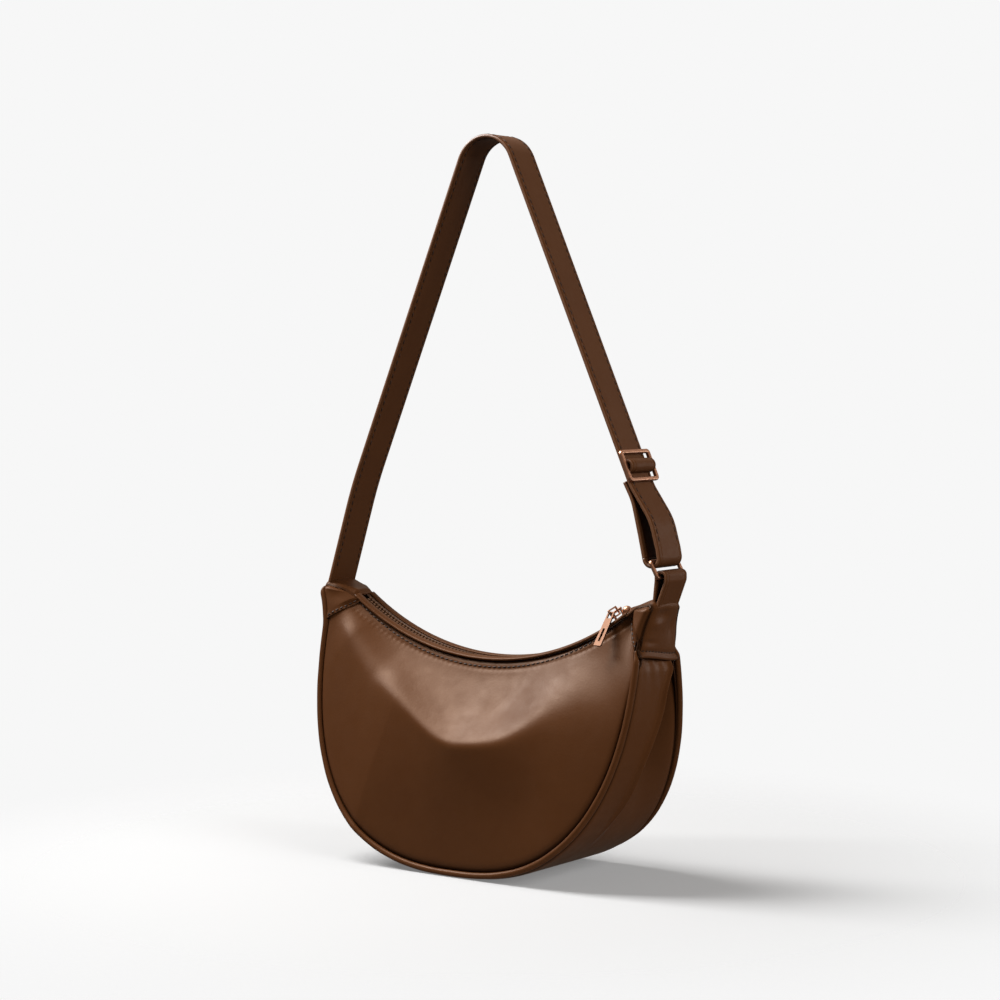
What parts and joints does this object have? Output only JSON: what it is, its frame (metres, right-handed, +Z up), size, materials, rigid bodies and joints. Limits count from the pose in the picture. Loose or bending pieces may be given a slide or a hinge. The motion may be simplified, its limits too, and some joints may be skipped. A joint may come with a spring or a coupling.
{
  "type": "half moon bag",
  "caption": "Crescent shoulder bag in smooth leather with a curved top zip, piped edges, patched tips and a short adjustable strap on a ring.",
  "frame": {"origin": "on the floor under the middle of the base", "axes": "+X along the bag to the buckle side, -Y to the front face, +Z up"},
  "size_m": [0.2514, 0.0942, 0.4375],
  "materials": {
    "body_leather": "smooth dark brown, semi-matt",
    "piping_leather": "smooth dark brown",
    "strap_leather": "smooth dark brown with stitched edges",
    "lining_fabric": "plain woven, brown",
    "zip_fabric": "woven tape, dark brown",
    "zip_plastic": "moulded, dark brown",
    "hardware": "polished rose gold plating"
  },
  "bodies": {
    "bag": {"front_panel": "body_leather", "back_panel": "body_leather", "gusset": "body_leather", "left_horn_front_patch": "body_leather", "right_horn_front_patch": "body_leather", "left_horn_back_patch": "body_leather", "right_horn_back_patch": "body_leather", "left_horn_gusset_patch": "body_leather", "right_horn_gusset_patch": "body_leather", "front_zip_welt": "body_leather", "front_piping": "piping_leather", "back_piping": "piping_leather", "lining": "lining_fabric", "front_zip_tape": "zip_fabric", "front_zip_teeth": "zip_plastic", "left_zip_stop": "hardware", "right_zip_stop": "hardware"},
    "back_mouth": {"back_zip_tape": "zip_fabric", "back_zip_teeth": "zip_plastic", "back_zip_welt": "body_leather"},
    "slider": {"zip_slider": "hardware"},
    "pull_link": {"zip_pull_link": "hardware"},
    "pull": {"zip_pull": "hardware"},
    "strap": {"strap": "strap_leather", "strap_tail": "strap_leather", "ring_tab": "strap_leather"},
    "ring": {"strap_ring": "hardware"},
    "buckle": {"strap_buckle": "hardware", "strap_bridge": "strap_leather"}
  },
  "joints": [
    {"name": "zip_travel", "type": "hinge", "parent": "bag", "child": "slider", "pos_m": [0, 0, 0.29597], "axis": [0, 1, 0], "range_deg": [0, 66]},
    {"name": "back_mouth_open", "type": "hinge", "parent": "bag", "child": "back_mouth", "pos_m": [0, 0, 0.165], "axis": [1, 0, 0], "range_deg": [0, 30.5], "deforming": ["back_panel", "lining"]},
    {"name": "link_flip", "type": "hinge", "parent": "slider", "child": "pull_link", "pos_m": [0.08773, 0, 0.15966], "axis": [0.8369, 0, 0.5474], "range_deg": [-100, 0]},
    {"name": "pull_swing", "type": "hinge", "parent": "pull_link", "child": "pull", "pos_m": [0.08871, -0.00779, 0.15815], "axis": [1, 0, 0], "range_deg": [-75, 0]},
    {"name": "strap_swing", "type": "hinge", "parent": "bag", "child": "strap", "pos_m": [0, 0, 0.1685], "axis": [1, 0, 0], "range_deg": [-90, 90], "deforming": ["strap", "ring_tab"]},
    {"name": "ring_swing", "type": "hinge", "parent": "strap", "child": "ring", "pos_m": [0.1198, 0, 0.1906], "axis": [0, 1, 0], "range_deg": [-5, 5]},
    {"name": "buckle_slide", "type": "slide", "parent": "strap", "child": "buckle", "axis": [-0.4031, 0, 0.9152], "range_m": [0, 0.15], "deforming": ["strap_tail"]}
  ],
  "couplings": [
    {"joint": "back_mouth_open", "follows": "zip_travel", "ratio": 0.45455}
  ]
}
